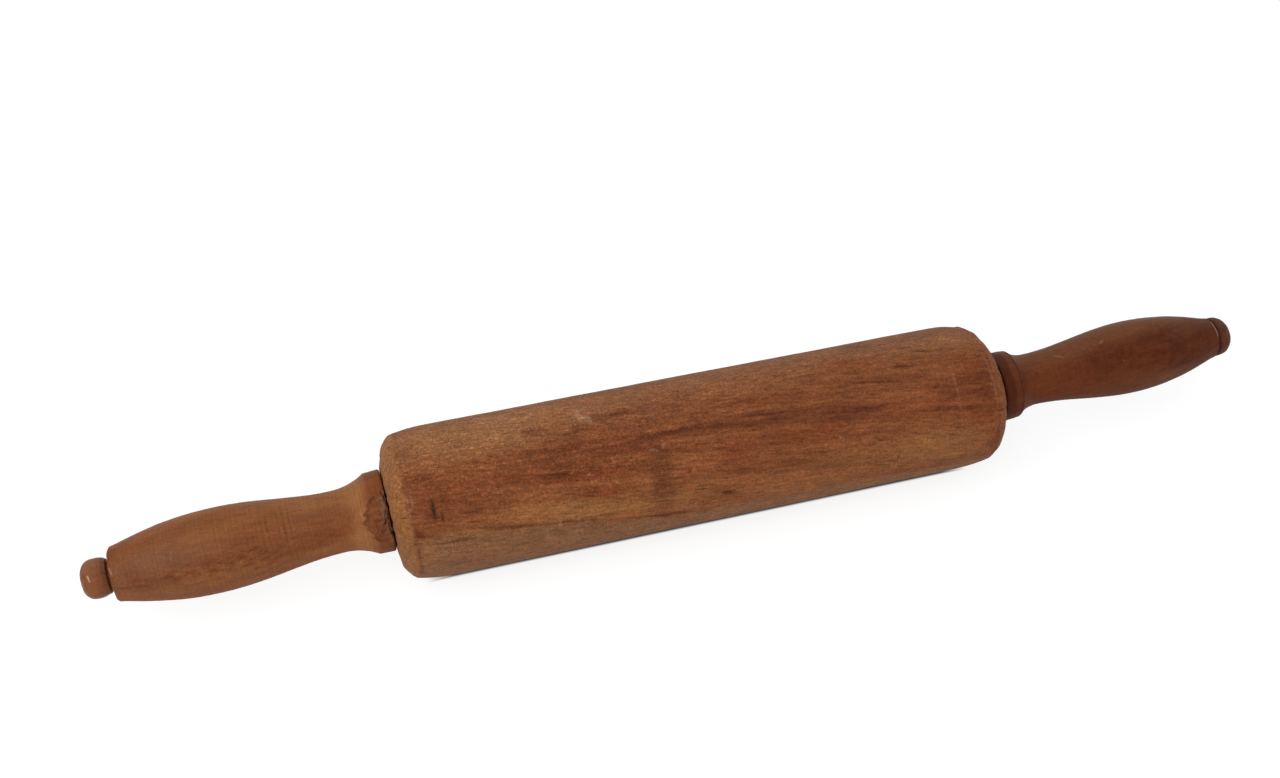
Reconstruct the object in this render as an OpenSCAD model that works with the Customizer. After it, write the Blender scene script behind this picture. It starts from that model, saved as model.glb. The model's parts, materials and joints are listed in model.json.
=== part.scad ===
// Old turned hardwood rolling pin: a solid barrel with a wooden axle pin driven into each end.
// Each axle pin ends in a turned knob that keeps a freely spinning handle on it.
// The pins were driven in slightly askew, so each handle leans a little off the barrel's axis.
// Millimetres. X runs along the barrel's axis, +X towards the right handle. +Z is up.
// The origin lies on the table under the middle of the barrel.

/* [Roller] */
// Diameter of the barrel where it rolls
roller_d = 60; // [45:1:80]
// Length of the barrel between its two end faces
roller_len = 250; // [180:5:320]

/* [Roller ends] */
// Length of the shallow worn run-out next to each bevel
lead_len = 12; // [4:1:25]
// How far the radius falls along the run-out
lead_drop = 1.2; // [0.2:0.1:2.5]
// Length of the turned bevel at each end face
bevel_len = 6; // [2:0.5:10]
// How far the radius falls along the bevel
bevel_drop = 6.2; // [4:0.1:8]
// How far the bevel bulges above a straight chamfer
bevel_bow = 1.5; // [0:0.1:1.5]

/* [Axle pins] */
// Diameter of the wooden axle pins
pin_d = 11; // [8:0.5:13]
// Length of each axle pin that is driven into the roller
pin_tail_len = 42; // [25:1:70]
// Chamfer on the driven end of each axle pin
pin_tail_chamfer = 1; // [0.4:0.1:2]
// Lean of the left axle pin off the barrel's axis, in degrees, negative where its knob sits low
left_lean = -2; // [-3:0.1:3]
// Lean of the right axle pin off the barrel's axis, in degrees, positive where its knob sits high
right_lean = 1.6; // [-3:0.1:3]
// Direction of both leans about the barrel's axis, in degrees from upright towards the back
lean_turn = 45; // [0:5:90]

/* [Sockets in the roller] */
// Glue space left between an axle pin and the full depth of its socket
glue_gap = 1; // [0.5:0.5:4]
// Depth of the drill point at the bottom of each socket
drill_point = 2.5; // [0.5:0.5:4]
// Width of the countersink at each socket's mouth
socket_mouth = 0.8; // [0.2:0.1:2]

/* [Fits] */
// Radial interference between an axle pin and its socket
press_interference = 0.02; // [0.01:0.01:0.05]
// Radial clearance between an axle pin and the handle that spins on it
running_clearance = 0.08; // [0.02:0.01:0.1]
// Width of the countersink at both mouths of each handle's bore
bore_mouth = 0.6; // [0.2:0.1:1]

/* [Both handles] */
// Length of each handle
handle_len = 103.9; // [90:0.1:130]

/* [Left handle] */
// Diameter of the collar at the face next to the roller
left_collar_d = 32.4; // [29:0.2:40]
// How far the collar's radius falls on the way to its ridge
left_collar_fall = 0.2; // [0:0.1:1]
// Width of the collar from its face to its ridge
left_collar_w = 6.4; // [4:0.1:12]
// Rounding of the collar's edge at its face
left_collar_round = 0.8; // [0.2:0.1:1.5]
// Diameter of the neck, where the fingers close
left_neck_d = 24.2; // [20:0.1:26]
// Distance from the handle's face to its neck
left_neck_at = 18.5; // [14:0.1:28]
// Diameter of the belly, the widest part of the grip
left_belly_d = 32.4; // [28:0.1:38]
// Distance from the handle's face to its belly
left_belly_at = 65; // [50:0.1:75]
// Diameter of the handle where the belly's curve runs out into the tip
left_tip_d = 24.6; // [23:0.1:28]
// Length of the tip, from there to the handle's outer end
left_tip_len = 7.8; // [4:0.1:12]
// How far the tip is hollowed below a straight taper
left_tip_hollow = 0.05; // [0:0.05:0.5]
// Diameter of the handle where its end rounding starts
left_end_d = 21.5; // [20:0.1:23]
// Rounding of the handle's outer end
left_end_round = 1.7; // [0.5:0.1:3]
// Narrowest gap between the left handle and the roller as they lie
left_roller_gap = 0.3; // [0.3:0.1:4]
// Gap between the left handle and its knob as they lie
left_knob_gap = 1.3; // [0.3:0.1:4]

/* [Right handle] */
// Diameter of the collar at the face next to the roller
right_collar_d = 29.8; // [27:0.2:38]
// How far the collar's radius falls on the way to its ridge
right_collar_fall = 0.5; // [0:0.1:1]
// Width of the collar from its face to its ridge
right_collar_w = 8.4; // [4:0.1:12]
// Rounding of the collar's edge at its face
right_collar_round = 0.8; // [0.2:0.1:1.5]
// Diameter of the neck, where the fingers close
right_neck_d = 21.8; // [19:0.1:25]
// Distance from the handle's face to its neck
right_neck_at = 16.8; // [12:0.1:26]
// Diameter of the belly, the widest part of the grip
right_belly_d = 31; // [27:0.1:37]
// Distance from the handle's face to its belly
right_belly_at = 64.4; // [50:0.1:75]
// Diameter of the handle where the belly's curve runs out into the tip
right_tip_d = 20.6; // [19:0.1:24]
// Length of the tip, from there to the handle's outer end
right_tip_len = 6; // [4:0.1:12]
// How far the tip is hollowed below a straight taper
right_tip_hollow = 0.15; // [0:0.05:0.5]
// Diameter of the handle where its end rounding starts
right_end_d = 17.7; // [17:0.1:19]
// Rounding of the handle's outer end
right_end_round = 0.5; // [0.3:0.1:2]
// Narrowest gap between the right handle and the roller as they lie
right_roller_gap = 3.7; // [0.3:0.1:5]
// Gap between the right handle and its knob as they lie
right_knob_gap = 0.4; // [0.3:0.1:4]

/* [Left knob] */
// Length of the left knob beyond its seat
left_knob_len = 10.4; // [6:0.1:16]
// Diameter of the left knob at its widest
left_knob_d = 15.9; // [15.6:0.1:22]
// Distance from the left knob's seat to its widest part
left_knob_wide_at = 4; // [0.5:0.1:5]
// Width of the shoulder that stands out from the left axle pin at the knob's seat
left_knob_shoulder = 1; // [0.6:0.1:1.2]

/* [Right knob] */
// Length of the right knob beyond its seat
right_knob_len = 8; // [6:0.1:16]
// Diameter of the right knob at its widest
right_knob_d = 17.4; // [16:0.1:22]
// Distance from the right knob's seat to its widest part
right_knob_wide_at = 1; // [0.5:0.1:5]
// Width of the shoulder that stands out from the right axle pin at the knob's seat
right_knob_shoulder = 1.5; // [0.6:0.1:1.5]

/* [Hidden] */

curve_steps = 10;
turning_fn = 96;
cut_overrun = 1;
knob_side_power = 2.7;
knob_face_power = 2.5;
left_cove_power = 2;
right_cove_power = 2.5;

roller_wood = [0.60, 0.43, 0.30];
left_handle_wood = [0.55, 0.37, 0.25];
right_handle_wood = [0.44, 0.29, 0.20];
left_pin_wood = [0.53, 0.36, 0.24];
right_pin_wood = [0.45, 0.30, 0.21];

roller_r = roller_d / 2;
axis_z = roller_r;
face_x = roller_len / 2;
bevel_x = face_x - bevel_len;
lead_x = bevel_x - lead_len;
bevel_r = roller_r - lead_drop;
face_r = bevel_r - bevel_drop;

pin_r = pin_d / 2;
socket_r = pin_r - press_interference;
socket_depth = pin_tail_len + glue_gap;
bore_r = pin_r + running_clearance;

// Where each handle's inner face crosses its leaning pin, measured along the pin from the barrel's end face
left_start = handle_start(left_roller_gap, left_collar_d, left_lean);
right_start = handle_start(right_roller_gap, right_collar_d, right_lean);
// Where each knob's seat lies, measured along the pin in the same way
left_seat = left_start + handle_len + left_knob_gap;
right_seat = right_start + handle_len + right_knob_gap;

// Start of a handle whose tilted collar keeps gap to the barrel's end face at its nearest edge
function handle_start(gap, collar_d, lean) = (gap + collar_d / 2 * abs(sin(lean))) / cos(lean);

// Outlines are lists of [distance along the axis, radius]. Each curve leaves out its first point.

// Parabola from a to b that runs level where it starts
function level_start(a, b) =
    [for (i = [1:curve_steps]) let (t = i / curve_steps)
        [a.x + (b.x - a.x) * t, a.y + (b.y - a.y) * t * t]];

// Curve from a to b that runs level where it ends, a parabola at power 2 and steeper at first above it
function level_end(a, b, power = 2) =
    [for (i = [1:curve_steps]) let (t = i / curve_steps)
        [a.x + (b.x - a.x) * t, b.y + (a.y - b.y) * pow(1 - t, power)]];

// Cosine curve from a to b that runs level at both ends
function level_both(a, b) =
    [for (i = [1:curve_steps]) let (t = i / curve_steps)
        [a.x + (b.x - a.x) * t, a.y + (b.y - a.y) * (1 - cos(180 * t)) / 2]];

// Line from a to b, raised in a parabola by bow at its middle
function bowed(a, b, bow) =
    [for (i = [1:curve_steps]) let (t = i / curve_steps)
        [a.x + (b.x - a.x) * t, a.y + (b.y - a.y) * t + 4 * bow * t * (1 - t)]];

// Quarter round from a on a face to b on the side
function face_round(a, b) =
    [for (i = [1:curve_steps]) let (t = 90 * i / curve_steps)
        [b.x + (a.x - b.x) * cos(t), a.y + (b.y - a.y) * sin(t)]];

// Quarter round from a on the side to b on a face
function side_round(a, b) =
    [for (i = [1:curve_steps]) let (t = 90 * i / curve_steps)
        [a.x + (b.x - a.x) * sin(t), b.y + (a.y - b.y) * cos(t)]];

// Button from its widest point a to the middle of its face at x = end
function button(a, end) =
    [for (i = [1:curve_steps]) let (t = sin(90 * i / curve_steps))
        [a.x + (end - a.x) * t, a.y * pow(1 - pow(t, knob_side_power), 1 / knob_face_power)]];

// Outline points mirrored to the other side of the middle, in reverse order
function mirrored(points) =
    [for (i = [len(points) - 1:-1:0]) [-points[i].x, points[i].y]];

// Solid turned about the X axis from an outline
module turned(points) {
    rotate([0, 90, 0])
        rotate_extrude($fn = turning_fn)
            polygon([for (p = points) [p.y, p.x]]);
}

// Round cut about the X axis from x0 to x1, r0 at x0 and r1 at x1
module round_cut(x0, x1, r0, r1) {
    translate([x0, 0, 0])
        rotate([0, 90, 0])
            cylinder(h = x1 - x0, r1 = r0, r2 = r1, $fn = turning_fn);
}

// Places what is built along +X from the origin on the barrel's right end face, leaning as its pin does
module on_right_face(lean) {
    translate([face_x, 0, axis_z])
        rotate([-lean_turn, 0, 0])
            rotate([0, -lean, 0])
                children();
}

// The same on the barrel's left end face
module on_left_face(lean) {
    mirror([1, 0, 0])
        on_right_face(lean)
            children();
}

// Blind socket for an axle pin, drilled back from an end face at x = 0
module socket() {
    round_cut(-socket_depth, cut_overrun, socket_r, socket_r);
    round_cut(-socket_depth - drill_point, -socket_depth, 0, socket_r);
    round_cut(-socket_mouth, 0, socket_r, socket_r + socket_mouth);
}

// Handle along +X with its collar's face at x = near
module handle(near, collar_d, collar_fall, collar_w, collar_round, neck_d, neck_at, cove_power,
              belly_d, belly_at, tip_d, tip_len, tip_hollow, end_d, end_round) {
    far = near + handle_len;
    face_edge = [near, collar_d / 2 - collar_round];
    collar = [near + collar_round, collar_d / 2];
    ridge = [near + collar_w, collar_d / 2 - collar_fall];
    neck = [near + neck_at, neck_d / 2];
    belly = [near + belly_at, belly_d / 2];
    tip = [far - tip_len, tip_d / 2];
    shoulder = [far - end_round, end_d / 2];
    outline = concat(
        [[near, 0], face_edge],
        face_round(face_edge, collar),
        [ridge],
        level_end(ridge, neck, cove_power),
        level_both(neck, belly),
        level_start(belly, tip),
        bowed(tip, shoulder, -tip_hollow),
        side_round(shoulder, [far, shoulder.y - end_round]),
        [[far, 0]]);
    difference() {
        turned(outline);
        round_cut(near - cut_overrun, far + cut_overrun, bore_r, bore_r);
        round_cut(near, near + bore_mouth, bore_r + bore_mouth, bore_r);
        round_cut(far - bore_mouth, far, bore_r, bore_r + bore_mouth);
    }
}

// Axle pin along +X, its tail driven in behind x = 0 and its knob seated at x = seat
module axle_pin(seat, knob_len, knob_d, knob_wide_at, knob_shoulder) {
    widest = [seat + knob_wide_at, knob_d / 2];
    rim = [seat, pin_r + knob_shoulder];
    turned(concat(
        [[-pin_tail_len, 0], [-pin_tail_len, pin_r - pin_tail_chamfer],
         [-pin_tail_len + pin_tail_chamfer, pin_r], [seat, pin_r], rim],
        level_end(rim, widest),
        button(widest, seat + knob_len)));
}

module roller() {
    half = concat(
        [[lead_x, roller_r]],
        level_start([lead_x, roller_r], [bevel_x, bevel_r]),
        bowed([bevel_x, bevel_r], [face_x, face_r], bevel_bow));
    color(roller_wood)
        difference() {
            translate([0, 0, axis_z])
                turned(concat([[-face_x, 0]], mirrored(half), half, [[face_x, 0]]));
            on_left_face(left_lean)
                socket();
            on_right_face(right_lean)
                socket();
        }
}

module left_handle() {
    color(left_handle_wood)
        on_left_face(left_lean)
            handle(left_start, left_collar_d, left_collar_fall, left_collar_w, left_collar_round,
                   left_neck_d, left_neck_at, left_cove_power, left_belly_d, left_belly_at,
                   left_tip_d, left_tip_len, left_tip_hollow, left_end_d, left_end_round);
}

module right_handle() {
    color(right_handle_wood)
        on_right_face(right_lean)
            handle(right_start, right_collar_d, right_collar_fall, right_collar_w, right_collar_round,
                   right_neck_d, right_neck_at, right_cove_power, right_belly_d, right_belly_at,
                   right_tip_d, right_tip_len, right_tip_hollow, right_end_d, right_end_round);
}

module left_axle_pin() {
    color(left_pin_wood)
        on_left_face(left_lean)
            axle_pin(left_seat, left_knob_len, left_knob_d, left_knob_wide_at, left_knob_shoulder);
}

module right_axle_pin() {
    color(right_pin_wood)
        on_right_face(right_lean)
            axle_pin(right_seat, right_knob_len, right_knob_d, right_knob_wide_at, right_knob_shoulder);
}

roller();
left_handle();
right_handle();
left_axle_pin();
right_axle_pin();
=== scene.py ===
# %% [markdown]
# # An old turned rolling pin
# The object is five pieces of turned hardwood: a barrel, two wooden axle pins that are driven
# into its ends, and two handles that spin on those pins, each kept on by the pin's own knob.
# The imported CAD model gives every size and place. This script gives each piece its worn,
# hand-made surface and its wood, and lights it plainly.

# %% Load the fixed frame
import json
import math

import bpy
import numpy as np
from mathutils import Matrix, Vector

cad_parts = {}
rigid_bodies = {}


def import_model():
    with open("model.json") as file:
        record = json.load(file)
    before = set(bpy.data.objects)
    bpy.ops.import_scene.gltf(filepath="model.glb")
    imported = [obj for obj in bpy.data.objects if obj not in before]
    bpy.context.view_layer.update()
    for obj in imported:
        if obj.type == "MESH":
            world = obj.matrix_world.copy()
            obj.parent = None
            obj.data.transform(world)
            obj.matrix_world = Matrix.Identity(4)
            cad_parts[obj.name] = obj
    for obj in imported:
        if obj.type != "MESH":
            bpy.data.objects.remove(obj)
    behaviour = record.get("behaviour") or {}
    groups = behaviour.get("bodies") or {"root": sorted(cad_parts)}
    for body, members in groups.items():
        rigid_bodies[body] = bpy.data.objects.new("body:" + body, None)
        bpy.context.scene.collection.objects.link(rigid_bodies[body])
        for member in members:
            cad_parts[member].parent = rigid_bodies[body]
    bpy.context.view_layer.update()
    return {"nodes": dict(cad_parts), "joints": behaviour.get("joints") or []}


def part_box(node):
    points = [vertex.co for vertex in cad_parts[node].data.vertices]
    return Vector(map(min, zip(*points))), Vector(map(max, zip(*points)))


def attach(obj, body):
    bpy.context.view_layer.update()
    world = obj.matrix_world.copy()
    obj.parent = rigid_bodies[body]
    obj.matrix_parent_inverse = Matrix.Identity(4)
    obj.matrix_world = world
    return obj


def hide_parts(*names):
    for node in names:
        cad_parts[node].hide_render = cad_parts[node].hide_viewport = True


for leftover in list(bpy.data.objects):
    bpy.data.objects.remove(leftover)
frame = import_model()
MM = 0.001
print("frame loaded:", sorted(frame["nodes"]))

# %% [markdown]
# ## Camera
# The camera stands at the photograph's viewing angle. The barrel's two long edges run towards
# one vanishing point, and its ends bulge by a known amount. Those two facts fix the lens and
# the distance, so the place below is worked out from the barrel and not tuned by eye.

# %% Camera at the photograph's viewing angle
CAMERA_PLACE = (-0.1383, -0.4062, 0.4599)
CAMERA_HEADING = math.radians(15.68)
CAMERA_DIP = math.radians(42.87)
CAMERA_LENS = 42.19

camera_data = bpy.data.cameras.new("camera")
camera_data.lens = CAMERA_LENS
camera_data.clip_start, camera_data.clip_end = 0.01, 20.0
camera = bpy.data.objects.new("camera", camera_data)
camera.location = CAMERA_PLACE
camera.rotation_euler = (math.pi / 2 - CAMERA_DIP, 0.0, -CAMERA_HEADING)
bpy.context.scene.collection.objects.link(camera)
bpy.context.scene.camera = camera
bpy.context.scene.view_settings.view_transform = "Standard"
print("camera lens", CAMERA_LENS, "mm")

# %% [markdown]
# ## The turned outline
# Each piece came off a lathe, so it is one outline swept round one axis. The outline could be
# typed again, but the CAD model already holds it: a turned solid has its corners on rings, and
# each ring gives one distance along the axis and one radius. Reading them back keeps the looks
# and the CAD model the same shape, whatever size is changed there.

# %% Axes of the pieces
class Axis:
    """A turning axis: its origin, its direction, and two directions square to it.

    Angles go round from the front, which faces the viewer at 0 degrees, over the top at 90.
    """

    def __init__(self, origin, along):
        self.origin = np.array(origin, float)
        self.along = np.array(along, float) / np.linalg.norm(along)
        front = np.array([0.0, -1.0, 0.0])
        front -= (front @ self.along) * self.along
        self.front = front / np.linalg.norm(front)
        up = np.array([0.0, 0.0, 1.0])
        up -= (up @ self.along) * self.along + (up @ self.front) * self.front
        self.up = up / np.linalg.norm(up)

    def split(self, points):
        """Distance along the axis and radius from it, for an array of points."""
        offset = points - self.origin
        along = offset @ self.along
        radius = np.linalg.norm(offset - along[:, None] * self.along, axis=1)
        return along, radius

    def place(self, along, radius, angle):
        """Points at the given distances, radii and angles: origin + along + radius turned by angle."""
        across = np.cos(angle)[..., None] * self.front + np.sin(angle)[..., None] * self.up
        return self.origin + along[..., None] * self.along + radius[..., None] * across

    def turns_outwards(self):
        """True where a grid that runs along first and round second already faces outwards."""
        return np.cross(self.along, self.up) @ self.front > 0


joints = {joint["name"]: joint for joint in frame["joints"]}
left_joint = joints["left_handle_spin"]
right_joint = joints["right_handle_spin"]
roller_low, roller_high = (np.array(corner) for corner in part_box("roller"))
roller_middle = (roller_low + roller_high) / 2
BARREL_AXIS = Axis(roller_middle, (1, 0, 0))
LEFT_AXIS = Axis(left_joint["pos_m"], -np.array(left_joint["axis"]))
RIGHT_AXIS = Axis(right_joint["pos_m"], right_joint["axis"])
print("left axis", LEFT_AXIS.along.round(4), "right axis", RIGHT_AXIS.along.round(4))


# %% Read a CAD node's outline
CLOSE_RINGS = 0.06 * MM


def outline_of(node, axis, wider_than=0.0):
    """Corners of a turned node's outline, as rows of [distance along, radius], in order.

    Every corner of the solid lies on a ring, so the distinct pairs of distance and radius are
    the outline's own points. Pairs narrower than wider_than belong to a bore and are left out.
    """
    mesh = frame["nodes"][node].data
    flat = np.zeros(len(mesh.vertices) * 3, np.float32)
    mesh.vertices.foreach_get("co", flat)
    along, radius = axis.split(flat.reshape(-1, 3).astype(float))
    pairs = np.stack([along, radius], axis=1)[radius > wider_than]
    keys = np.round(pairs / CLOSE_RINGS).astype(int)
    pairs = pairs[np.unique(keys, axis=0, return_index=True)[1]]
    pairs = pairs[np.lexsort((pairs[:, 1], np.round(pairs[:, 0] / CLOSE_RINGS)))]
    gaps = np.hypot(*np.diff(pairs, axis=0).T)
    return pairs[np.concatenate([[True], gaps > CLOSE_RINGS])]


# %% [markdown]
# ## From corners to a worn outline
# The corners are joined by short straight steps. Two things turn them into worn wood: the
# steps are divided finely, and each point is then averaged with its neighbours. The width of
# that average is small beside a true corner, so that a ridge stays a ridge with a worn edge,
# and wide along a handle's belly, so that the steps melt into one curve.

# %% Divide and soften an outline
def divide(points, step):
    """Points at equal distances of about step along a chain of straight lines."""
    run = np.concatenate([[0.0], np.cumsum(np.hypot(*np.diff(points, axis=0).T))])
    count = max(2, int(math.ceil(run[-1] / step)) + 1)
    at = np.linspace(0.0, run[-1], count)
    return np.stack([np.interp(at, run, points[:, 0]), np.interp(at, run, points[:, 1])], axis=1)


def soften(points, corner_angle, narrow, wide):
    """Each point becomes a bell-weighted mean of the points around it.

    The bell's width is half the distance to the nearest true corner, kept between narrow and
    wide. A true corner is a turn of more than corner_angle between two of the given steps.
    The two ends of the chain count as corners and stay in place.
    """
    fine = divide(points, narrow)
    steps = np.diff(points, axis=0)
    heading = np.unwrap(np.arctan2(steps[:, 1], steps[:, 0]))
    sharp = points[1:-1][np.abs(np.diff(heading)) > corner_angle]
    sharp = np.concatenate([points[:1], sharp, points[-1:]])
    apart = np.hypot(*(fine[:, None, :] - sharp[None, :, :]).transpose(2, 0, 1)).min(axis=1)
    width = np.clip(0.5 * apart, narrow, wide)
    run = np.arange(len(fine)) * narrow
    weight = np.exp(-0.5 * ((run[:, None] - run[None, :]) / width[:, None]) ** 2)
    smooth = weight @ fine / weight.sum(axis=1, keepdims=True)
    smooth[0], smooth[-1] = fine[0], fine[-1]
    return smooth


# %% [markdown]
# ## From an outline to a mesh
# A turned surface is a grid: rings along the outline, columns round the axis. The whole grid
# is worked out as arrays. Relief such as dents, wear and lathe marks moves each point along
# the outline's own normal before the outline is swept round. Where a ring has no radius its
# points are one pole, and a handle's outline runs back through its bore to where it began.

# %% Grid meshes
def column_angles(count, dense_from, dense_to, dense_share):
    """Angles of the columns, closer together between two angles, which face the viewer."""
    dense = int(count * dense_share)
    first = np.linspace(dense_from, dense_to, dense, endpoint=False)
    rest = np.linspace(dense_to, dense_from + 2 * math.pi, count - dense, endpoint=False)
    return np.concatenate([first, rest])


def outline_normals(outline, closed):
    """Unit normals of an outline, to the left of its direction of travel, towards the outside."""
    if closed:
        ahead, behind = np.roll(outline, -1, axis=0), np.roll(outline, 1, axis=0)
    else:
        ahead = np.concatenate([outline[1:], outline[-1:]])
        behind = np.concatenate([outline[:1], outline[:-1]])
    travel = ahead - behind
    normal = np.stack([-travel[:, 1], travel[:, 0]], axis=1)
    return normal / np.maximum(np.linalg.norm(normal, axis=1, keepdims=True), 1e-12)


def grid_faces(rings, columns, wrap_rings, flip):
    """Quads of a grid whose columns close on themselves, and whose rings do too if wrapped."""
    ring = np.arange(rings if wrap_rings else rings - 1)[:, None]
    column = np.arange(columns)[None, :]
    right = (column + 1) % columns
    below = (ring + 1) % rings
    quads = np.stack([ring * columns + column, below * columns + column,
                      below * columns + right, ring * columns + right], axis=-1)
    quads = quads.reshape(-1, 4)
    return quads[:, ::-1] if flip else quads


def mesh_from(name, points, faces, masks):
    """A smooth-shaded mesh object, with one number per point for each named mask."""
    mesh = bpy.data.meshes.new(name)
    mesh.from_pydata(points.tolist(), [], faces)
    mesh.polygons.foreach_set("use_smooth", np.ones(len(mesh.polygons), bool))
    for mask, values in masks.items():
        layer = mesh.attributes.new(mask, "FLOAT", "POINT")
        layer.data.foreach_set("value", values.astype(np.float32).ravel())
    mesh.update()
    piece = bpy.data.objects.new(name, mesh)
    bpy.context.scene.collection.objects.link(piece)
    return piece


def turned_piece(name, axis, outline, angles, relief, masks, closed=False, shift=None,
                 moved=(0.0, 0.0)):
    """Sweeps an outline round an axis: points = axis place of (outline + normal times relief).

    Relief and masks are arrays of rings by columns. An open outline starts and ends on the
    axis, and its first and last ring become one point each. Shift moves whole rings sideways.
    Moved is added to the distance along the axis and to the radius, point by point.
    """
    rings, columns = len(outline), len(angles)
    masks = {**masks, "along": np.broadcast_to(outline[:, :1], relief.shape)}
    normal = outline_normals(outline, closed)
    along = outline[:, :1] + normal[:, :1] * relief + moved[0]
    radius = outline[:, 1:] + normal[:, 1:] * relief + moved[1]
    points = axis.place(along, radius, np.broadcast_to(angles, along.shape))
    if shift is not None:
        points = points + shift[:, None, :]
    points = points.reshape(-1, 3)
    quads = grid_faces(rings, columns, closed, not axis.turns_outwards())
    if closed:
        flat = {key: np.asarray(value).reshape(-1) for key, value in masks.items()}
        return mesh_from(name, points, quads.tolist(), flat)
    body = slice(columns - 1, rings * columns - columns + 1)
    last = rings * columns - 2 * columns + 1
    shrink = np.clip(quads - (columns - 1), 0, last)
    caps = (shrink == 0).sum(axis=1) == 2
    tips = (shrink == last).sum(axis=1) == 2
    faces = shrink[~(caps | tips)].tolist()
    faces += [list(dict.fromkeys(face)) for face in shrink[caps | tips].tolist()]
    flat = {key: np.asarray(value).reshape(-1)[body] for key, value in masks.items()}
    return mesh_from(name, points[body], faces, flat)


print("grid helpers ready")

# %% [markdown]
# ## Noting wear on a surface
# Worn wood has no straight edge and no even tone. Each piece gets a surface that knows, for
# every point of its grid, how far along the piece and how far round it the point lies. Stains,
# lines and dents are then noted as on a bench: millimetres along, degrees round from the front,
# half length, half width and strength. Wandering fields, which are sums of waves drawn out
# along the grain, push the edges of every stain about.

# %% Wandering field
def wander(along, angle, radius, length, width, seed, waves=18):
    """Smooth field between about -1 and 1: a sum of cosines of (k along + m angle + phase).

    The wave numbers k are spread around 2 pi / length. The whole numbers m are spread around
    the piece's girth over width, so that the field closes on itself round the axis.
    """
    draw = np.random.default_rng(seed)
    k = draw.normal(0.0, 2 * math.pi / length, waves)
    m = np.round(draw.normal(0.0, 2 * math.pi * radius / width, waves))
    phase = draw.uniform(0.0, 2 * math.pi, waves)
    waves_at = k[:, None, None] * along[None] + m[:, None, None] * angle[None]
    total = np.cos(waves_at + phase[:, None, None]).sum(axis=0)
    return total / math.sqrt(waves)


def step_up(values, low, high):
    """Smooth step from 0 at low to 1 at high: 3 t^2 - 2 t^3."""
    t = np.clip((values - low) / (high - low), 0.0, 1.0)
    return t * t * (3 - 2 * t)


# %% Surface on which wear is noted
class Surface:
    """The grid of a turned piece. Notes on it are in millimetres along and degrees round."""

    def __init__(self, outline, angles, radius, grain_slope, seed):
        shape = (len(outline), len(angles))
        self.along = np.broadcast_to(outline[:, :1], shape)
        self.angle = np.broadcast_to(angles, shape)
        self.radius, self.slope, self.seed = radius, grain_slope, seed
        self.slow, self.fine = self.wander(70, 14, 1), self.wander(30, 3.2, 2)
        self.drift = (1.3 * self.slow + 0.7 * self.fine) * MM / radius
        self.slide = 2.5 * MM * self.wander(18, 12, 3)

    def wander(self, length, width, seed):
        """A wandering field that follows the sloping grain: length and width in millimetres."""
        angle = self.angle - self.slope * self.along / self.radius
        return wander(self.along, angle, self.radius, length * MM, width * MM, self.seed + seed)

    def arc(self, degrees, drift=0.0):
        """Each point's arc distance from a number of degrees, the shorter way round."""
        turn = self.angle + drift - np.radians(degrees)
        return self.radius * ((turn + math.pi) % (2 * math.pi) - math.pi)

    def degrees(self, drift=0.0):
        """Each point's angle in degrees, from -180 to 180."""
        return np.degrees(self.arc(0.0, drift) / self.radius)

    def stains(self, *notes, true=False, rim=2.6):
        """Sum of soft ovals exp(-(u^2 + v^2)^(rim / 2)), u along and v round over half sizes.

        A note is (mm along, degrees, half length mm, half width mm, strength). The ovals lean
        with the grain and wander, unless they are true to the notes.
        """
        along = self.along if true else self.along + self.slide
        total = np.zeros(self.along.shape)
        for place, degrees, half_length, half_width, strength in notes:
            off = along - place * MM
            u = off / (half_length * MM)
            v = self.arc(degrees, 0.0 if true else self.drift) - (0.0 if true else self.slope) * off
            v = v / (half_width * MM)
            total += strength * np.exp(-((u * u + v * v) ** (rim / 2)))
        return total

    def lines(self, *notes):
        """Sum of fine strokes: (from mm, degrees, to mm, degrees, half width mm, strength)."""
        total = np.zeros(self.along.shape)
        wobble = 0.25 * MM * self.fine / self.radius
        for from_mm, from_deg, to_mm, to_deg, half_width, strength in notes:
            half = max(abs(to_mm - from_mm) / 2, 0.3) * MM
            off = self.along - (from_mm + to_mm) / 2 * MM
            slope = math.radians(to_deg - from_deg) * self.radius / (2 * half)
            slope *= math.copysign(1, to_mm - from_mm)
            u = off / half
            v = (self.arc((from_deg + to_deg) / 2, wobble) - slope * off) / (half_width * MM)
            total += strength * np.exp(-((u * u + v * v / (1 + slope * slope)) ** 1.5))
        return total

    def band(self, route, half_width, rim=2.4, true=False):
        """Soft band half_width mm wide on each side of a route of (mm, degrees, width factor)."""
        route = np.array(route, float)
        along = self.along if true else self.along + 0.4 * self.slide
        degrees = np.interp(along, route[:, 0] * MM, route[:, 1])
        share = np.interp(along, route[:, 0] * MM, route[:, 2], left=0.0, right=0.0)
        off = self.arc(degrees, 0.0 if true else 0.5 * self.drift)
        v = off / np.maximum(half_width * MM * share, 0.05 * MM)
        return np.exp(-(np.abs(v) ** rim)) * np.clip(share * 4, 0, 1)


print("surface notes ready")

# %% [markdown]
# ## Barrel
# The barrel is one solid billet. Its ends have a shallow run-out and a soft bevel, and a blind
# socket is drilled into each end face at the lean of its pin. The outline below runs from the
# bottom of one socket, over the barrel, to the bottom of the other, so the piece is closed.

# %% Barrel outline
FRONT_FROM, FRONT_TO = math.radians(-50), math.radians(140)
TRUE_CORNER = math.radians(9)
SOCKET_MOUTH = 0.8 * MM
SOCKET_GLUE_GAP = 1.0 * MM
SOCKET_POINT = 2.5 * MM
FACE_X = float(roller_high[0] - roller_low[0]) / 2
END_ZONE = 22 * MM
CROWN = 0.6 * MM

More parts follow.
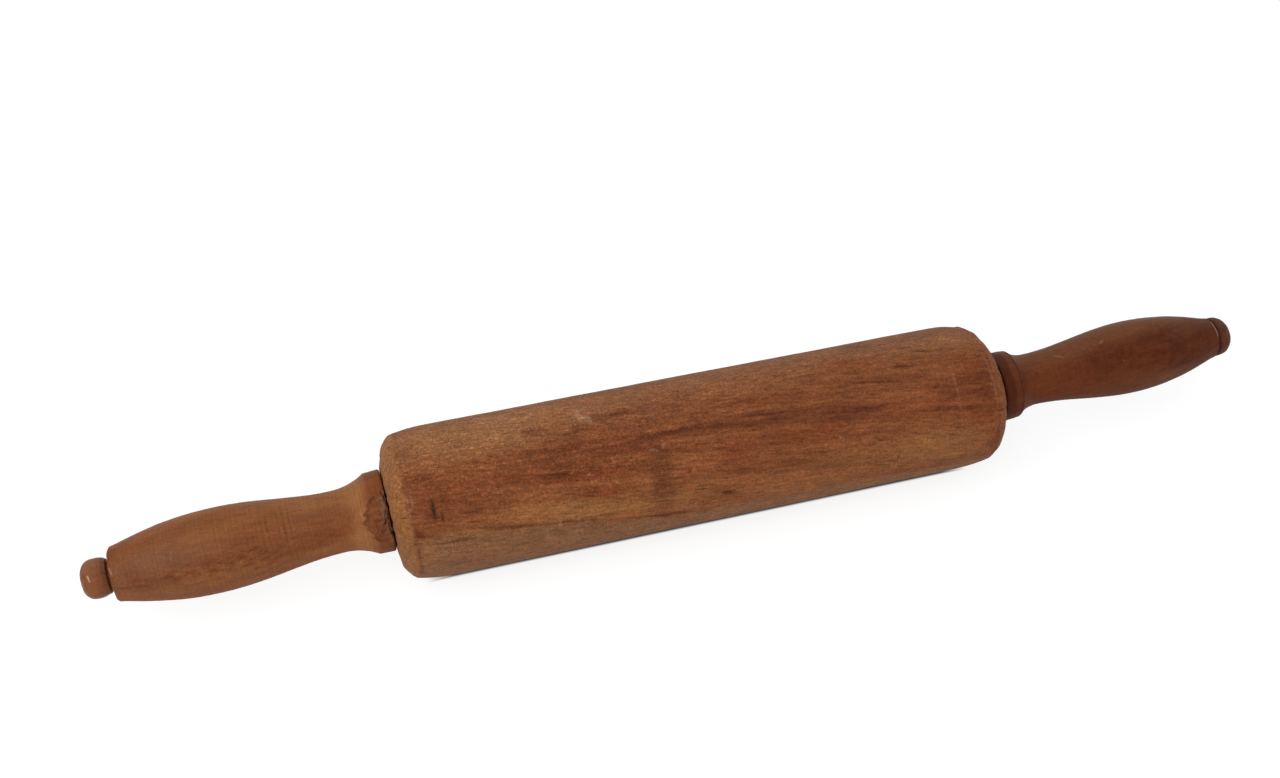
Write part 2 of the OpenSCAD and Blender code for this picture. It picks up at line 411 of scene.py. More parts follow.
left_pin_corners = outline_of("left_axle_pin", LEFT_AXIS)
right_pin_corners = outline_of("right_axle_pin", RIGHT_AXIS)
PIN_TAIL = -left_pin_corners[0, 0]
PIN_R = float(np.interp(0.0, left_pin_corners[:, 0], left_pin_corners[:, 1]))
socket_end = FACE_X - PIN_TAIL - SOCKET_GLUE_GAP
socket = np.array([[socket_end - SOCKET_POINT, 0.0], [socket_end, PIN_R], [FACE_X - SOCKET_MOUTH, PIN_R]])
mouth = np.array([[FACE_X, PIN_R + SOCKET_MOUTH]])
shell = outline_of("roller", BARREL_AXIS, 2 * (PIN_R + SOCKET_MOUTH))
shell = np.concatenate([mouth * (-1, 1), shell, mouth])
soft_shell = soften(shell, TRUE_CORNER, 0.35 * MM, 2.5 * MM)
in_left, in_right = soft_shell[:, 0] < -FACE_X + END_ZONE, soft_shell[:, 0] > FACE_X - END_ZONE
ends_step, middle_step = 0.5 * MM, 1.05 * MM
barrel_outline = np.concatenate([
    divide(socket * (-1, 1), 3 * MM),
    divide(soft_shell[in_left], ends_step),
    divide(soft_shell[~(in_left | in_right)], middle_step),
    divide(soft_shell[in_right], ends_step),
    divide(socket[::-1], 3 * MM)])
barrel_angles = column_angles(284, FRONT_FROM, FRONT_TO, 0.62)
print("barrel rings", len(barrel_outline), "columns", len(barrel_angles))


# %% Lean of the two sockets and end faces
def socket_shift(outline):
    """How far each ring moves sideways so that a socket follows its leaning pin."""
    shift = np.zeros((len(outline), 3))
    hidden = outline[:, 1] <= PIN_R + 1e-6
    for axis, side in ((LEFT_AXIS, -1), (RIGHT_AXIS, 1)):
        here = hidden & (np.sign(outline[:, 0]) == side)
        sideways = axis.along * (0, 1, 1) / abs(axis.along[0])
        shift[here] = (np.abs(outline[here, :1]) - FACE_X) * sideways
    return shift


def out_of_square(outline, angles):
    """How far each point of the barrel's ends moves along it, as no end was sawn quite square.

    A plane square to a pin along (ax, ay, az) stands out by -(ay y + az z) / ax at (y, z) off the
    axis. The rims follow it only inwards, as worn wood is lost there. The left face's middle
    follows it both ways and stands proud by CROWN, close to its collar.
    """
    moved = np.zeros((len(outline), len(angles)))
    for axis, side in ((LEFT_AXIS, -1), (RIGHT_AXIS, 1)):
        sideways = axis.along[2] * np.sin(angles) - axis.along[1] * np.cos(angles)
        outwards = -side * outline[:, 1:] * sideways / axis.along[0]
        near_end = step_up(side * outline[:, :1], FACE_X - 18 * MM, FACE_X - 6 * MM)
        proud = 1 - step_up(outline[:, 1:], 16.5 * MM, 22 * MM) if side < 0 else 0.0
        moved += near_end * side * (proud * (CROWN + outwards) + (1 - proud) * np.minimum(outwards, 0.0))
    return moved


# %% [markdown]
# ## The barrel's stains
# Old hardwood that has met dough, grease and damp is never one colour. Each tone that it has is
# one mask: reddish heart, dark umber, olive where the surface is fuzzy, gold where it is
# cleanest, grey where it lay damp. A grey band along the top is painted sheen. The grain runs a
# little off the axis, down towards the right on the front, so the stains lean with it. A material
# later turns each mask into its colour.

# %% Barrel surface and its broad stains
ROLL_R = float(shell[:, 1].max())
GRAIN_SLOPE = -0.09
roll = Surface(barrel_outline, barrel_angles, ROLL_R, GRAIN_SLOPE, 0)
reddish = roll.stains(
    (-88, 56, 40, 11, 0.65), (-40, 64, 26, 5, 0.5), (108, 45, 17, 11, 0.95), (82, 42, 20, 4, 0.6),
    (6, 37, 10, 5, 1.0), (38, 42, 24, 6, 0.55), (-44, 34, 10, 6, 0.7), (-5, 84, 30, 6, 0.35),
    (20, 76, 26, 4, 0.4), (112, 66, 12, 7, 0.5), (-110, 40, 14, 7, 0.35), (-58, 44, 9, 2, 0.5),
    (49, 41, 2.4, 2, 0.8), (100, 76, 22, 2.5, 0.3), (-30, 205, 60, 12, 0.6), (60, 250, 50, 9, 0.5),
    (-90, 285, 30, 8, 0.5), (70, 180, 40, 8, 0.4), (-20, 300, 50, 7, 0.4), (118, 15, 9, 26, 0.6),
    (62, 87, 12, 5, 0.5))
umber_and_shade = roll.stains(
    (-64, 58, 20, 6, 0.6), (-34, 57, 22, 4, 0.35), (6, 56, 18, 4, 0.3), (-60, 43, 10, 4, 0.5),
    (112, 42, 8, 8, 0.35), (-114, 29, 8, 6, 0.3), (-50, 79.5, 9, 1, 0.5), (48, 79, 2.2, 6, 0.3),
    (-36, 86.5, 9, 1.8, 0.5), (-66, 85.5, 7, 1.5, 0.5), (104, 52, 14, 4, 0.3),
    (-112, 56, 9, 6, 0.3), (92.5, 56, 2.0, 1.1, 0.9), (-117.5, 26, 1.4, 1.6, 0.8),
    (88, 108, 16, 3, 0.3), (71, 118, 6, 3, 0.4), (20, 230, 26, 3, 0.5), (-70, 215, 18, 3, 0.4))
olive = roll.stains(
    (-98, 92, 34, 15, 0.9), (-55, 101, 40, 9, 0.6), (60, 99, 55, 8, 0.15), (0, 103, 40, 8, 0.4),
    (-84, 79, 16, 4, 0.5), (104, 94, 16, 8, 0.5), (100, 8, 22, 10, 0.35), (10, 170, 90, 14, 0.5))
gold = roll.stains(
    (-66, 24, 22, 6, 0.8), (-104, 18, 13, 2.4, 1.0), (-48, 14, 24, 5, 0.5), (90, 8, 20, 8, 0.5),
    (-84, 75, 8, 2, 0.4), (-25, 8, 30, 4, 0.3), (60, 14, 24, 5, 0.4), (20, 82, 16, 3, 0.3),
    (-38, 27, 9, 5, 0.4), (-82, -3, 26, 5, 0.7), (34, -4, 20, 5, 0.6), (-13, 15, 10, 4, 0.6),
    (-30, 265, 70, 8, 0.5), (80, 300, 40, 8, 0.5), (0, 185, 60, 6, 0.4))
print("stains", [round(float(m.max()), 2) for m in (reddish, umber_and_shade, olive, gold)])

# %% Damp line along the front, and painted sheen along the top
damp_edge = np.interp(roll.along / MM, [-125, -100, -60, -12, 40, 125], [24, 19, 7, -8, -13, -18])
greyed_and_sheen = step_up(damp_edge - roll.degrees(roll.drift), -4, 5)
greyed_and_sheen *= 1 - step_up(np.abs(roll.degrees() - 15), 65, 95)
# Painted sheen: the first, long note is a grey band along the top that stands for grazing reflection.
greyed_and_sheen += roll.stains((20, 122, 130, 9, 0.55), (88, 106, 20, 4, 0.5), (19, 15, 1.8, 1.6, 0.6))
print("greyed share", round(float((greyed_and_sheen > 0.5).mean()), 2))

# %% [markdown]
# ## The dark streak, the lines and the old wounds
# One dark heart streak crosses the barrel, thin at the left and widest past the middle. Fine
# dark lines follow the grain, a bruise and a gouge sit on the front, and the right half has
# many short drying checks. The wounds are real relief as well as colour.

# %% Dark streak
streak = roll.band([(-50, 58.5, 0.0), (-36, 59.5, 0.3), (-20, 60.5, 0.5), (-8, 61.5, 0.7), (4, 61, 0.9),
                    (15, 59.5, 0.95), (28, 56, 1.3), (43, 52.5, 1.75), (55, 50.5, 1.45), (64, 49, 0.7),
                    (74, 47.5, 0.0)], 2.4, rim=2.0)
streak_edge = roll.band([(-26, 60.5, 0.0), (-12, 63, 0.8), (0, 64, 1.0), (12, 62.8, 1.0),
                         (22, 61.2, 0.8), (38, 59, 0.0)], 0.6, true=True)
streak = np.clip(0.8 * streak + 0.35 * streak_edge, 0, 1)
square_stain = roll.stains((-22.5, 24, 4.6, 17, 0.6), true=True, rim=7) * (0.85 + 0.3 * roll.fine)

# %% Grain lines
grain_lines = roll.lines(
    (-114, 13.8, -93, 11.2, 0.45, 0.7), (-101, 22, -89, 17.5, 0.6, 0.5), (-91, 17.5, -71, 12, 0.6, 0.75),
    (-72, 12, -50, 6.5, 0.5, 0.7), (-50, 10, -39, 7, 0.4, 0.6), (-52, 6, -36, 0.5, 0.5, 0.6),
    (-40, 1.5, -26, -3, 0.6, 0.6),
    (-31, -2, -11, -7, 0.9, 0.8), (-110, -10, -97, -12, 0.4, 0.4), (-104, 34, -88, 33, 0.35, 0.3),
    (-80, 49, -50, 45.5, 0.35, 0.45), (-74, 34.5, -58, 34, 0.3, 0.3), (-40, 20, -14, 17, 0.3, 0.3),
    (15, 7.8, 27, 5, 0.4, 0.4), (28, 19, 40, 17, 0.3, 0.3), (-60, 81, -46, 80, 0.35, 0.4))
checks = roll.lines(
    (88, 93.5, 98, 87, 0.55, 0.9), (78, 79.5, 87, 77, 0.55, 0.85), (60, 81.5, 67, 79, 0.4, 0.6),
    (62, 71.5, 79, 66, 0.4, 0.8), (81, 101, 91, 95, 0.45, 0.7), (42, 101.5, 48, 96.5, 0.4, 0.6),
    (105, 75.5, 111, 74.5, 0.35, 0.6), (80, 60.5, 100, 53.5, 0.35, 0.6), (82, 41, 110, 33.5, 0.4, 0.8),
    (84, 43.5, 106, 36, 0.3, 0.5), (95, 17, 98.5, 15, 0.3, 0.6), (79, 26, 84, 23, 0.35, 0.5),
    (34, 27, 42, 23.5, 0.35, 0.5), (4, 26, 9, 24, 0.35, 0.5), (0, 26.5, 3, 24.5, 0.4, 0.5),
    (104, 6, 108, 4, 0.4, 0.4), (63, 24.5, 72, 23.5, 0.3, 0.4), (58, 20, 64, 18.5, 0.3, 0.3),
    (40, 88, 50, 86, 0.3, 0.4), (22, 78, 36, 72, 0.3, 0.4), (96, 48, 101, 46, 0.3, 0.4),
    (52, 70, 66, 66, 0.25, 0.35), (103, 86, 107, 84.5, 0.4, 0.5), (-85, 109.5, -81, 107.5, 0.5, 0.7),
    (-10.5, 99, -7.5, 96.5, 0.6, 0.5), (-12.6, 33.5, -11, 29.5, 0.6, 0.8), (15, 98, 17, 101, 0.5, 0.7),
    (37.5, 111, 39, 109, 0.6, 0.6), (74, 6, 75.4, 5, 0.5, 0.9))
cracks = roll.lines((-123.3, 37.6, -119.5, 37.2, 0.25, 1.0), (-122.4, 105.5, -120.8, 101.5, 0.3, 0.9),
                    (119.6, 27, 121.6, 28.5, 0.5, 0.9))
print("lines", round(float(grain_lines.max()), 2), "checks", round(float(checks.max()), 2))

# %% Bruise, gouge and pale nicks
bruise = roll.stains((-110.2, 38, 0.8, 3.8, 0.85), (-109.8, 43, 0.35, 2.5, 0.5), true=True)
bruise_side = roll.stains((-107.3, 33.5, 0.4, 2.6, 0.9), true=True)
gouge = roll.lines((0.6, 6.6, 6.2, 4.6, 0.75, 1.0))
pale_nicks_and_glints = roll.lines(
    (-57.2, 46.9, -56.7, 46.5, 0.4, 0.9), (-50.4, 43, -49.4, 39.5, 0.3, 0.5),
    (-20.4, 55, -19.4, 51, 0.4, 0.4),
    (-26, 52.5, -23, 50.5, 0.45, 0.4), (49.8, 37, 50.2, 32, 0.3, 0.5), (50.3, 32, 51.6, 30, 0.3, 0.45),
    (65.2, 49.8, 66, 47.5, 0.3, 0.5), (63.6, 41.4, 65, 40.9, 0.3, 0.4), (24, 68, 25.4, 65, 0.25, 0.4),
    (116.5, 52, 117.2, 49, 0.3, 0.4),
    (-116.6, 107, -116.0, 104.5, 0.5, 0.9), (-119.3, 51, -118.5, 49, 0.4, 0.5))
nick_cloud = roll.stains((-46.5, 90, 1.8, 4.5, 0.8), (-82, 107, 5, 4, 0.3), (-119, 46, 1.0, 5, 0.3))
rub_lines = np.clip(wander(roll.along, roll.angle, ROLL_R, 1.3 * MM, 25 * MM, 11) - 0.7, 0, 1)
rub_zone = roll.stains((-60, 4, 12, 5, 0.45), (-98, 4, 14, 6, 0.3), true=True)
print("pale nicks", round(float(pale_nicks_and_glints.max()), 2))

# %% [markdown]
# ## Bevels, nap and relief
# The worn bevels are lighter than the barrel, and dirt sits along their foot. The upper left is
# fuzzy, where washing has raised the grain. Relief only cuts into the CAD outline, because the
# barrel's true size is the largest that the wood ever had.

# %% Bevels and nap
end_gap = FACE_X - np.abs(roll.along)
bevel_edge = 5.2 * MM + 0.5 * MM * roll.wander(200, 12, 5)
bevel = step_up(bevel_edge - end_gap, -0.5 * MM, 0.5 * MM)
foot_dirt = np.exp(-(((end_gap - 6.4 * MM) / (0.9 * MM)) ** 2))
foot_dirt *= np.clip(0.55 + 0.6 * roll.wander(30, 9, 6), 0, 1)
left_end = roll.along < 0
nap = np.clip(roll.stains((-85, 85, 50, 26, 1.0), (-30, 78, 50, 18, 0.7), (30, 100, 70, 12, 0.6),
                          (-60, 50, 50, 10, 0.5), (90, 104, 40, 9, 0.5)) + 0.12, 0, 1)

# %% Barrel masks
barrel_masks = {
    "reddish": reddish * (1 - 0.75 * bevel),
    "umber_and_shade": umber_and_shade * (1 - 0.8 * bevel),
    "streak": streak,
    "square_stain": square_stain,
    "olive": olive,
    "gold": gold + np.where(left_end, 0.85, 0.35) * bevel,
    "greyed_and_sheen": greyed_and_sheen * (1 - 0.8 * bevel),
    "dark_lines_and_shade": (0.95 * gouge + grain_lines + checks + cracks + bruise_side
                   + np.where(left_end, 0.45, 0.3) * foot_dirt),
    "wound": bruise,
    "rubbed": roll.stains((102.0, 46, 0.5, 15, 0.4), (118.2, 58, 0.45, 14, 0.6), (-118.9, 40, 0.5, 12, 0.4),
                          true=True),
    "pale_nicks_and_glints": pale_nicks_and_glints + 0.6 * nick_cloud + rub_lines * rub_zone,
    "nap": nap,
}

# %% Barrel relief and piece
LARGEST_RISE = 0.16 * MM
lathe_waves = wander(roll.along, roll.angle, ROLL_R, 2.2 * MM, 400 * MM, 7)
relief = (0.05 * MM * roll.slow + 0.03 * MM * roll.fine + 0.012 * MM * lathe_waves
          + bevel * 0.22 * MM * roll.wander(8, 16, 8))
relief -= MM * (0.5 * bruise + 0.25 * bruise_side + 0.5 * gouge + 0.22 * checks + 0.12 * grain_lines
                + 0.4 * cracks + 0.1 * pale_nicks_and_glints + 0.08 * umber_and_shade.clip(0, 1))
relief -= MM * roll.stains((119, 104, 5, 20, 0.5), true=True)
bored = barrel_outline[:, 1:] <= PIN_R + SOCKET_MOUTH
relief = np.where(bored, 0.0, np.minimum(relief - LARGEST_RISE, 0.0))
barrel = turned_piece("barrel", BARREL_AXIS, barrel_outline, barrel_angles, relief, barrel_masks,
                      shift=socket_shift(barrel_outline),
                      moved=(out_of_square(barrel_outline, barrel_angles), 0.0))
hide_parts("roller")
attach(barrel, "barrel")
print("barrel", len(barrel.data.polygons), "faces")

# %% [markdown]
# ## Handles
# A handle is a tube: it is turned on the outside and bored right through for its pin. Its
# outline goes along the outside from the barrel to the knob and returns through the bore, so
# the swept grid closes on itself twice, like a ring.

# %% Handle outline
BORE_MOUTH = 0.6 * MM
HANDLE_COLUMNS = 256


def handle_outline(node, axis):
    """Closed outline of a handle: its near face, its side, its far face and back down its bore."""
    bore_r = outline_of(node, axis)[:, 1].min()
    outer = outline_of(node, axis, bore_r + 2 * BORE_MOUTH)
    near, far = outer[0, 0], outer[-1, 0]
    chain = np.concatenate([[[near, bore_r + BORE_MOUTH]], outer, [[far, bore_r + BORE_MOUTH]]])
    side = divide(soften(chain, TRUE_CORNER, 0.22 * MM, 2.5 * MM), 0.45 * MM)
    bore = divide(np.array([[far - BORE_MOUTH, bore_r], [near + BORE_MOUTH, bore_r]]), 8 * MM)
    return np.concatenate([side, bore])


handle_angles = column_angles(HANDLE_COLUMNS, FRONT_FROM, FRONT_TO, 0.6)
print("handle columns", HANDLE_COLUMNS)


# %% Make a handle piece
def handle_piece(name, node, body, axis, outline, relief, masks, sunk=0.0):
    """A handle's mesh, with no relief in its bore, in place of its CAD node.

    sunk is a cut into its side. On the flat near face the cut tapers off towards the bore.
    """
    bored = outline[:, 1:] <= PIN_R + 2 * BORE_MOUTH
    share = np.clip((outline[:, 1:] - PIN_R - 2 * BORE_MOUTH) / (outline[0:40, 1].max() - PIN_R), 0, 1)
    piece = turned_piece(name, axis, outline, handle_angles, np.where(bored, 0.0, relief), masks,
                         closed=True, moved=(0.0, -sunk * share))
    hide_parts(node)
    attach(piece, body)
    print(name, len(outline), "rings", len(piece.data.polygons), "faces")
    return piece


# %% [markdown]
# ## Left handle
# The handle by the barrel's left end lost a flake of its collar long ago. The break is rough
# and rusty dark, with black torn fibres near the barrel, and its edge runs in scallops. It is
# cut towards the axis, so that the collar's face keeps its plane. The rest is a warm brown,
# paler in the cove, with painted sheen greying the belly near its far end, a painted glint on
# the far rim and painted shade at the far end by the knob. Chatter marks, fine rings that a
# shaking gouge leaves, cross the belly on top.

# %% Left handle's surface
left_outline = handle_outline("left_handle", LEFT_AXIS)
left_grip = Surface(left_outline, handle_angles, 14 * MM, -0.05, 100)
CHIP_EDGE = [(-8, -1), (-4, 3), (0, 6.5), (8, 8.4), (20, 10.2), (34, 11.8), (45, 10.8), (57, 9.4), (66, 7),
             (73, 3.5), (78, -1)]
chip_angles, chip_reach = zip(*CHIP_EDGE)
scallops = 0.5 * left_grip.wander(60, 5, 4) + 0.35 * left_grip.wander(60, 2.2, 5)
chip_edge = np.interp(left_grip.degrees(), chip_angles, chip_reach, left=-9, right=-9) + scallops
chip_inside = chip_edge - left_grip.along / MM
chip = step_up(chip_inside, 0.0, 0.8)
splinters = left_grip.wander(9, 1.1, 6) + 0.7 * left_grip.wander(2.4, 1.6, 7)
chip_depth = chip * (0.4 + 0.75 * step_up(chip_inside, 0.0, 8.0) + 0.2 * splinters)
chip_depth *= 0.35 + 0.65 * step_up(left_grip.along / MM, 0.6, 3.0)
torn = left_grip.lines((0.9, 44, 2.6, 32, 0.35, 0.9), (2.6, 32, 4.4, 20, 0.35, 0.9),
                       (0.9, 58, 1.6, 42, 0.4, 0.9), (1.0, 24, 2.2, 10, 0.35, 0.8),
                       (2.4, 22, 5.4, 13, 0.3, 0.8), (3.4, 38, 5.6, 33, 0.25, 0.6),
                       (0.9, 36, 1.5, 27, 0.5, 0.9), (1.2, 66, 2.2, 58, 0.3, 0.5),
                       (4.4, 20, 5.2, 15, 0.3, 0.7), (2.8, 76, 2.0, 70, 0.45, 0.8),
                       (2.0, 69, 1.5, 61, 0.5, 1.0), (1.4, 51, 3.0, 38, 0.4, 0.8),
                       (2.6, 36, 3.2, 25, 0.35, 0.8), (1.8, 15, 0.8, 7, 0.5, 1.0),
                       (1.6, 29, 2.4, 18, 0.5, 1.0), (0.8, 14, 1.6, 4, 0.4, 0.8))
torn += 0.6 * step_up(1.0 + 0.5 * left_grip.wander(60, 3, 8) - left_grip.along / MM, 0.0, 0.3)
chip_rim = 1 - step_up(chip_inside + 0.8 * splinters, 0.8, 3.2)
torn += 0.3 * chip_rim * step_up(left_grip.along, 4 * MM, 6 * MM)
chip_tone = left_grip.wander(14, 3.5, 10)
print("chip share", round(float((chip > 0.5).mean()), 4))

# %% Left handle's masks, relief and piece
at = left_grip.along / MM
chatter = np.cos(2 * math.pi * at / 1.9 + 1.6 * left_grip.wander(30, 40, 12))
chatter *= 0.6 + 0.5 * left_grip.wander(6, 9, 13)
chatter *= left_grip.stains((45, 58, 9, 6, 1.0), (60, 56, 8, 4, 0.4), true=True)
blotchy = np.clip(0.55 + 0.5 * left_grip.wander(6, 3.5, 11) + 0.25 * left_grip.wander(3, 1.8, 14), 0, 1.6)
left_masks = {
    "reddish": 0.8 * (1 - step_up(at, 6.5, 8.5)) + left_grip.stains(
        (24, 36, 8, 7, 0.85), (50, 50, 18, 4, 0.45), (102, 60, 3, 14, 0.4), (60, 200, 30, 8, 0.6),
        (30, 270, 20, 6, 0.5)),
    "umber_and_shade": blotchy * left_grip.stains((60, 26, 20, 4.2, 0.7), (50, 34, 12, 3, 0.3), (24, 26, 6, 4, 0.5),
                                        (86, 24, 14, 4, 0.45), (40, 210, 20, 3, 0.5), (100, 24, 5, 5, 0.35))
    + left_grip.stains((82, 26, 20, 11, 0.25), (97, 26, 8, 9, 0.3), (96, 76, 8, 5, 0.25),
                       (3.2, 8, 3.4, 12, 0.6), (42, 14, 18, 7, 0.25)),
    "gold": 0.75 * step_up(at, 8.0, 11) * (1 - step_up(at, 13, 19)) + left_grip.stains(
        (70, 2, 26, 3, 0.5), (26, -2, 14, 5, 0.5), (60, 70, 20, 3, 0.35), (28, 100, 20, 6, 0.7),
        (60, 130, 40, 6, 0.4)),
    # Painted sheen: the first, strongest patch on the belly stands for a soft highlight.
    "greyed_and_sheen": left_grip.stains((92, 52, 15, 6, 0.9), (74, 44, 9, 3, 0.5), (96, 12, 14, 8, 0.7),
                               (30, 66, 10, 3, 0.35)),
    # Painted shade: the far end darkens beside the knob's gap. The chatter lines are real marks.
    "dark_lines_and_shade": 0.6 * step_up(at, 102.6, 104.4) + 0.8 * chatter.clip(0, 1),
    "wound": chip * np.clip(0.85 + 0.3 * chip_tone, 0, 1.1),
    "rusty": chip * np.clip(0.6 * chip_tone + 0.1, 0, 0.8) * (1 - 0.6 * step_up(at, 5.5, 8.0))
    + left_grip.stains((5.4, 32, 1.8, 10, 0.6)),
    "frayed": chip * (1 - step_up(at, 3.0, 5.0)) * np.clip(0.6 + 0.6 * splinters, 0, 1),
    "torn": torn * chip,
    # Painted glint: the first stroke, on the far rim, stands for a small highlight. The rest are pale
    # scratches.
    "pale_nicks_and_glints": left_grip.lines(
        (103.7, 49, 104.0, 60, 0.3, 0.8), (81.6, 48, 81.2, 58, 0.22, 0.25), (84.2, 47, 83.8, 53, 0.22, 0.2),
        (86.6, 60, 86.2, 68, 0.2, 0.25), (36.2, 52, 36.6, 51, 0.25, 0.6), (29, 41, 29.6, 40, 0.25, 0.4)),
    "nap": 0.25 + 0.5 * chip,
}
left_relief = MM * (0.07 * left_grip.slow + 0.03 * left_grip.fine + 0.05 * chatter
                    + 0.02 * wander(left_grip.along, left_grip.angle, 14 * MM, 3 * MM, 300 * MM, 9))
left_handle_wood = handle_piece("left_handle_wood", "left_handle", "left_grip", LEFT_AXIS, left_outline,
                                left_relief, left_masks, sunk=MM * (chip_depth + 0.3 * torn * chip))

# %% [markdown]
# ## Right handle
# This handle is slimmer and darker, and was turned by the same pattern: a collar and a redder
# edge, then a fillet line, a neck, a belly and a taper. The collar's band by the barrel, the
# fillet line's groove and the far end by the knob are darkened as painted shade. Its belly is
# dark red, its top is greyer with painted sheen, and a few pale scratches cross it.

# %% Right handle's masks, relief and piece
right_outline = handle_outline("right_handle", RIGHT_AXIS)
right_grip = Surface(right_outline, handle_angles, 13 * MM, 0.04, 200)
at = right_grip.along / MM
collar_band_shade = 1 - step_up(at + 0.25 * right_grip.wander(60, 12, 4), 8.2, 9.0)
fillet = np.exp(-(((at - 11.7) / 0.28) ** 2))
blotchy = np.clip(0.7 + 0.25 * right_grip.wander(9, 5, 11) + 0.12 * right_grip.wander(3, 1.8, 14), 0, 1.6)
right_masks = {
    "reddish": right_grip.stains((30, 28, 18, 8, 0.8), (72, 44, 15, 6, 0.3),
                                 (40, 210, 30, 8, 0.5), (24, 80, 10, 5, 0.4)),
    # Painted shade: the collar's band by the barrel is darkened. The rest of this mask is dark stain.
    "umber_and_shade": 0.9 * collar_band_shade + 0.5 * step_up(at, 90, 102) + blotchy * right_grip.stains(
        (70, 46, 22, 7.5, 0.8), (50, 56, 16, 5, 0.4), (84, 44, 10, 9, 0.5), (60, 230, 24, 5, 0.6))
    + right_grip.stains((20.8, 56, 0.7, 0.6, 1.2), (13.5, 50, 1.2, 14, 0.3), (92, 36, 13, 13, 0.4),
                        true=True),
    "gold": right_grip.stains((82, -6, 9, 3, 0.8), (74, 4, 8, 3, 0.4), (20, 100, 14, 4, 0.5),
                              (46, 98, 36, 6, 0.4),
                              (60, 140, 30, 5, 0.4)),
    # Painted sheen: the greyer top stands for grazing reflection.
    "greyed_and_sheen": right_grip.stains((50, 102, 44, 7, 0.8), (60, 8, 14, 3.5, 0.4), (88, 98, 13, 8, 0.8)),
    # Painted shade: the fillet's groove and the far end by the knob's gap are darkened.
    "dark_lines_and_shade": 0.75 * fillet + 0.6 * step_up(at, 107, 107.9),
    "pale_nicks_and_glints": right_grip.lines(
        (31, 88, 34.6, 74, 0.22, 0.75), (51.2, 81.5, 53.4, 86, 0.28, 0.7), (58.4, 43.5, 59, 43, 0.2, 0.4),
        (86.6, 56, 87, 53, 0.25, 0.25))
    + 0.8 * np.exp(-(((at - 107.4) / 0.3) ** 2)) * step_up(right_grip.degrees(), 38, 54)
    * (1 - step_up(right_grip.degrees(), 88, 100)),
    "nap": np.full(at.shape, 0.2),
}
right_relief = MM * (0.06 * right_grip.slow + 0.03 * right_grip.fine - 0.3 * fillet
                     - 0.12 * np.exp(-(((at - 8.4) / 0.5) ** 2))
                     + 0.02 * wander(right_grip.along, right_grip.angle, 13 * MM, 3 * MM, 300 * MM, 10)
                     - 0.06 * right_masks["pale_nicks_and_glints"])
right_handle_wood = handle_piece("right_handle_wood", "right_handle", "right_grip", RIGHT_AXIS, right_outline,
                                 right_relief, right_masks)

# %% [markdown]
# ## Axle pins and their knobs
# Each pin and its knob are one turned piece. The tail is glued into the barrel and the shaft is
# hidden in the handle, so only the knob is shaped finely. The handle runs between the barrel's
# face and the knob's flat seat. The knob has a painted glint, and painted shade by its seat.

# %% Pin outline and piece
PIN_COLUMNS = 160


def pin_outline(corners):
    """Open outline of a pin: tail, shaft, step at the knob's seat, knob and its far pole."""
    wide = corners[corners[:, 1] > PIN_R + 0.3 * MM]
    seat, peak = wide[0, 0], wide[np.argmax(wide[:, 1])]
    tail = corners[corners[:, 0] < 0]
    rise = wide[wide[:, 0] < peak[0]]
    fall = corners[corners[:, 0] >= peak[0] - 1e-9]
    fall = fall[np.argsort(-fall[:, 1])]
    shaft = np.concatenate([[[tail[0, 0], 0.0]], tail, [[seat, PIN_R]]])
    knob = soften(np.concatenate([[[seat, PIN_R]], rise, fall]), TRUE_CORNER, 0.2 * MM, 1.2 * MM)
    return np.concatenate([divide(shaft, 3 * MM), divide(knob, 0.3 * MM)[1:]])


def pin_piece(name, node, axis, corners, seed):
    """A pin's mesh with its masks, in place of its CAD node. It rides with the barrel."""
    outline = pin_outline(corners)
    angles = column_angles(PIN_COLUMNS, FRONT_FROM, FRONT_TO, 0.55)
    surface = Surface(outline, angles, 8 * MM, 0.0, seed)
    seat = outline[outline[:, 1] > PIN_R + 0.3 * MM][0, 0]
    past = (surface.along - seat) / MM
    on_knob = step_up(past, 0.2, 1.2)
    masks = {
        "reddish": surface.stains((112, 60, 6, 8, 0.4)) * on_knob,
        "umber_and_shade": 0.4 * step_up(past, 7.2, 9.5),
        "gold": surface.stains((112, 20, 4, 3, 0.4)) * on_knob,
        "greyed_and_sheen": surface.stains((111, 100, 5, 6, 0.5)) * on_knob,
        # Painted shade: the knob darkens beside its seat, in the gap to the handle.
        "dark_lines_and_shade": 0.5 * on_knob * (1 - step_up(past, 0.6, 1.8)),
        # Painted glint: the first stroke, on the knob, stands for a small highlight.
        "pale_nicks_and_glints": surface.lines((112.3, 44, 112.5, 57, 0.28, 0.9), (115.2, 24, 115.6, 34, 0.3, 0.5)),
        "nap": np.full(past.shape, 0.15),
    }
    relief = MM * on_knob * (0.09 * surface.wander(8, 9, 4) + 0.03 * surface.wander(3, 4, 5) - 0.2)
    piece = turned_piece(name, axis, outline, angles, np.minimum(relief, 0.0), masks)
    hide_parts(node)
    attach(piece, "barrel")
    print(name, len(outline), "rings", len(piece.data.polygons), "faces")
    return piece


left_pin_wood = pin_piece("left_knob_and_pin", "left_axle_pin", LEFT_AXIS, left_pin_corners, 300)
right_pin_wood = pin_piece("right_knob_and_pin", "right_axle_pin", RIGHT_AXIS, right_pin_corners, 400)

# %% [markdown]
# ## Node helpers
# Every finish below is one wood material, built from four small node groups. A helper adds a
# node, sets its fields, and fills its inputs with values or with links.

# %% Node helpers
def add(tree, kind, feeds=None, **fields):
    """Adds a node. feeds fills its inputs: another node's output is linked, a value is set."""
    made = tree.nodes.new("ShaderNode" + kind)
    for field, value in fields.items():
        setattr(made, field, value)
    for key, value in (feeds or {}).items():
        if isinstance(value, bpy.types.NodeSocket):
            tree.links.new(value, made.inputs[key])
        else:
            made.inputs[key].default_value = value
    return made


